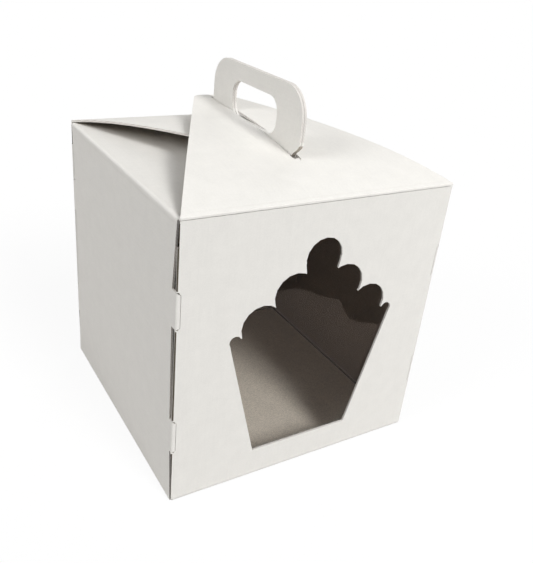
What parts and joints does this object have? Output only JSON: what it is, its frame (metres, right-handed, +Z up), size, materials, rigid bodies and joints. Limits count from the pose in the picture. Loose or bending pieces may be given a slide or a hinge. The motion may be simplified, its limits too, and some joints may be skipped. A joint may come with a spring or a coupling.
{
  "type": "cupcake box",
  "caption": "Square folded cake carton with a cupcake-shaped film window in the front, a hinged top flap and a card carrying handle through its slot.",
  "frame": {"origin": "middle of the underside of the base, on the surface the box stands on", "axes": "+Z up through the handle; the window faces -Y; the handle lies in the YZ plane"},
  "size_m": [0.2, 0.2, 0.259],
  "materials": {
    "white_board": "matt white micro-corrugated board",
    "clear_film": "clear glossy film"
  },
  "bodies": {
    "carton": {"carton": "white_board", "window_film": "clear_film"},
    "front_flap": {"front_flap": "white_board"}
  },
  "joints": [
    {"name": "front_flap_fold", "type": "hinge", "parent": "carton", "child": "front_flap", "pos_m": [0, -0.0989, 0.2029], "axis": [1, 0, 0], "range_deg": [0, 160]}
  ]
}
